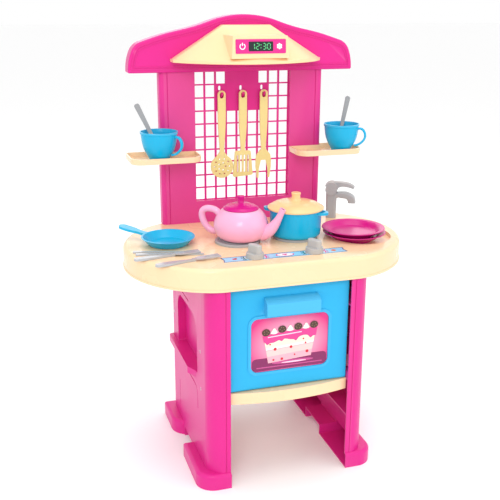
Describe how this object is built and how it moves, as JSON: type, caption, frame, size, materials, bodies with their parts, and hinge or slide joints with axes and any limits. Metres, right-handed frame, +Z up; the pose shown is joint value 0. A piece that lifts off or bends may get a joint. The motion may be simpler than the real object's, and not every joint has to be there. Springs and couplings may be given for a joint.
{
  "type": "toy kitchen",
  "caption": "Free-standing toy kitchen with a worktop, hinged oven door, turning knobs and tap, hooks, side shelves, range hood and loose cookware.",
  "frame": {"origin": "centre of the footprint box of all nodes, on the floor", "axes": "+Z up, the front with the oven door faces -Y, +X to the right as seen from the front"},
  "size_m": [0.5364, 0.3402, 0.83],
  "materials": {
    "pink_plastic": "moulded, semi-gloss",
    "cream_plastic": "moulded, semi-gloss",
    "light_blue_plastic": "moulded, semi-gloss",
    "blue_plastic": "moulded, glossy",
    "pale_pink_plastic": "moulded, glossy",
    "magenta_plastic": "moulded, glossy",
    "grey_plastic": "moulded, satin",
    "cream_utensil_plastic": "moulded, semi-gloss",
    "printed_label": "printed film",
    "printed_strip": "printed film",
    "printed_picture": "printed film",
    "steel_screws": "zinc plated"
  },
  "bodies": {
    "stand": {"side_panel_left": "pink_plastic", "side_panel_right": "pink_plastic", "oven_tray": "cream_plastic", "oven_rear_panel": "pink_plastic", "worktop": "cream_plastic", "back_panel": "pink_plastic", "canopy": "pink_plastic", "range_hood": "cream_plastic", "hood_display": "printed_label", "control_strip": "printed_strip", "shelf_left": "cream_plastic", "shelf_right": "cream_plastic", "burner_left": "grey_plastic", "burner_right": "grey_plastic", "side_screws": "steel_screws"},
    "door": {"oven_door": "light_blue_plastic", "door_picture": "printed_picture"},
    "knob_left": {"knob_left": "grey_plastic", "knob_clip_left": "grey_plastic"},
    "knob_right": {"knob_right": "grey_plastic", "knob_clip_right": "grey_plastic"},
    "tap": {"tap_body": "grey_plastic", "tap_clip": "grey_plastic"},
    "tap_lever": {"tap_lever": "grey_plastic"},
    "teapot": {"teapot_body": "pale_pink_plastic"},
    "teapot_lid": {"teapot_lid": "magenta_plastic"},
    "pot": {"pot_body": "blue_plastic"},
    "pot_lid": {"pot_lid": "cream_plastic"},
    "pan": {"frying_pan": "blue_plastic"},
    "plate_lower": {"plate_lower": "magenta_plastic"},
    "plate_upper": {"plate_upper": "magenta_plastic"},
    "cup_left": {"cup_left": "blue_plastic"},
    "cup_right": {"cup_right": "blue_plastic"},
    "spoon_left": {"spoon_left": "grey_plastic"},
    "spoon_right": {"spoon_right": "grey_plastic"},
    "skimmer": {"skimmer": "cream_utensil_plastic"},
    "spatula": {"spatula": "cream_utensil_plastic"},
    "serving_fork": {"serving_fork": "cream_utensil_plastic"},
    "knife_rear": {"knife_rear": "grey_plastic"},
    "knife_front": {"knife_front": "grey_plastic"},
    "fork_rear": {"fork_rear": "grey_plastic"},
    "fork_front": {"fork_front": "grey_plastic"}
  },
  "joints": [
    {"name": "oven_door_hinge", "type": "hinge", "parent": "stand", "child": "door", "pos_m": [0, -0.1441, 0.19], "axis": [1, 0, 0], "range_deg": [0, 90]},
    {"name": "knob_left_turn", "type": "hinge", "parent": "stand", "child": "knob_left", "pos_m": [-0.056, -0.1161, 0.424], "axis": [0, 0, 1], "range_deg": [-150, 150]},
    {"name": "knob_right_turn", "type": "hinge", "parent": "stand", "child": "knob_right", "pos_m": [0.056, -0.1161, 0.424], "axis": [0, 0, 1], "range_deg": [-150, 150]},
    {"name": "tap_swivel", "type": "hinge", "parent": "stand", "child": "tap", "pos_m": [0.181, 0.1049, 0.424], "axis": [0, 0, 1], "range_deg": [-110, 28]},
    {"name": "tap_lever_lift", "type": "hinge", "parent": "tap", "child": "tap_lever", "pos_m": [0.181, 0.1049, 0.4843], "axis": [-0.4695, -0.8829, 0], "range_deg": [0, 25]},
    {"name": "teapot_lift", "type": "slide", "parent": "stand", "child": "teapot", "axis": [0, 0, 1], "range_m": [0, 0.1]},
    {"name": "teapot_lid_lift", "type": "slide", "parent": "teapot", "child": "teapot_lid", "axis": [0, 0, 1], "range_m": [0, 0.06]},
    {"name": "pot_lift", "type": "slide", "parent": "stand", "child": "pot", "axis": [0, 0, 1], "range_m": [0, 0.1]},
    {"name": "pot_lid_lift", "type": "slide", "parent": "pot", "child": "pot_lid", "axis": [0, 0, 1], "range_m": [0, 0.06]},
    {"name": "pan_lift", "type": "slide", "parent": "stand", "child": "pan", "axis": [0, 0, 1], "range_m": [0, 0.1]},
    {"name": "plate_lower_lift", "type": "slide", "parent": "stand", "child": "plate_lower", "axis": [0.6126, 0, 0.7904], "range_m": [0, 0.06]},
    {"name": "plate_upper_lift", "type": "slide", "parent": "plate_lower", "child": "plate_upper", "axis": [0.6126, 0, 0.7904], "range_m": [0, 0.04]},
    {"name": "cup_left_lift", "type": "slide", "parent": "stand", "child": "cup_left", "axis": [0, -0.38, 0.925], "range_m": [0, 0.09]},
    {"name": "cup_right_lift", "type": "slide", "parent": "stand", "child": "cup_right", "axis": [0, -0.38, 0.925], "range_m": [0, 0.09]},
    {"name": "spoon_left_draw", "type": "slide", "parent": "cup_left", "child": "spoon_left", "axis": [-0.3502, 0.4189, 0.8378], "range_m": [0, 0.05]},
    {"name": "spoon_right_draw", "type": "slide", "parent": "cup_right", "child": "spoon_right", "axis": [0.3547, 0.3837, 0.8526], "range_m": [0, 0.05]},
    {"name": "skimmer_unhook", "type": "slide", "parent": "stand", "child": "skimmer", "axis": [0, -0.8192, 0.5736], "range_m": [0, 0.04]},
    {"name": "spatula_unhook", "type": "slide", "parent": "stand", "child": "spatula", "axis": [0, -0.8192, 0.5736], "range_m": [0, 0.04]},
    {"name": "serving_fork_unhook", "type": "slide", "parent": "stand", "child": "serving_fork", "axis": [0, -0.8192, 0.5736], "range_m": [0, 0.04]},
    {"name": "knife_rear_draw", "type": "slide", "parent": "stand", "child": "knife_rear", "axis": [-0.9537, 0.3006, 0], "range_m": [0, 0.04]},
    {"name": "knife_front_lift", "type": "slide", "parent": "stand", "child": "knife_front", "axis": [0, 0, 1], "range_m": [0, 0.04]},
    {"name": "fork_rear_lift", "type": "slide", "parent": "knife_front", "child": "fork_rear", "axis": [0, 0, 1], "range_m": [0, 0.04]},
    {"name": "fork_front_lift", "type": "slide", "parent": "stand", "child": "fork_front", "axis": [0, 0, 1], "range_m": [0, 0.06]}
  ]
}
